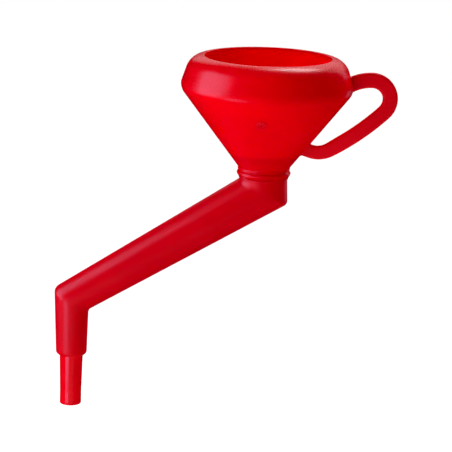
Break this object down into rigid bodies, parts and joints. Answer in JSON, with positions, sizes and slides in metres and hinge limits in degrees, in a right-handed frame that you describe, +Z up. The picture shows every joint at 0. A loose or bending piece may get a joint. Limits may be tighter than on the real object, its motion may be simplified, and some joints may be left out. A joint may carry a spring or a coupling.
{
  "type": "long-reach filling funnel",
  "caption": "Wide funnel bowl with an inturned lip, loop handle and lift-out strainer, turning on a cranked tapered spout with a slim nozzle.",
  "frame": {"origin": "on the nozzle's axis, at the middle of the straight stretch at its tip", "axes": "+Z up, along the nozzle and the neck's swivel axis; the bowl and its handle stand towards +X"},
  "size_m": [0.3167, 0.1602, 0.3437],
  "materials": {
    "red_body": "satin blow-moulded polyethylene",
    "red_handle": "satin polyethylene",
    "red_spout": "satin blow-moulded polyethylene",
    "red_nozzle": "smooth glossy",
    "strainer_plastic": "satin",
    "strainer_wire": "fine woven wire"
  },
  "bodies": {
    "spout": {"spout_tube": "red_spout", "outlet_nozzle": "red_nozzle"},
    "bowl": {"funnel_bowl": "red_body", "carry_handle": "red_handle"},
    "strainer": {"strainer_frame": "strainer_plastic", "strainer_gauze": "strainer_wire"}
  },
  "joints": [
    {"name": "neck_swivel", "type": "hinge", "parent": "spout", "child": "bowl", "pos_m": [0.1775, 0, 0.2269], "axis": [0, 0, 1], "continuous": true},
    {"name": "strainer_lift", "type": "slide", "parent": "bowl", "child": "strainer", "axis": [0, 0, 1], "range_m": [0, 0.12]}
  ]
}
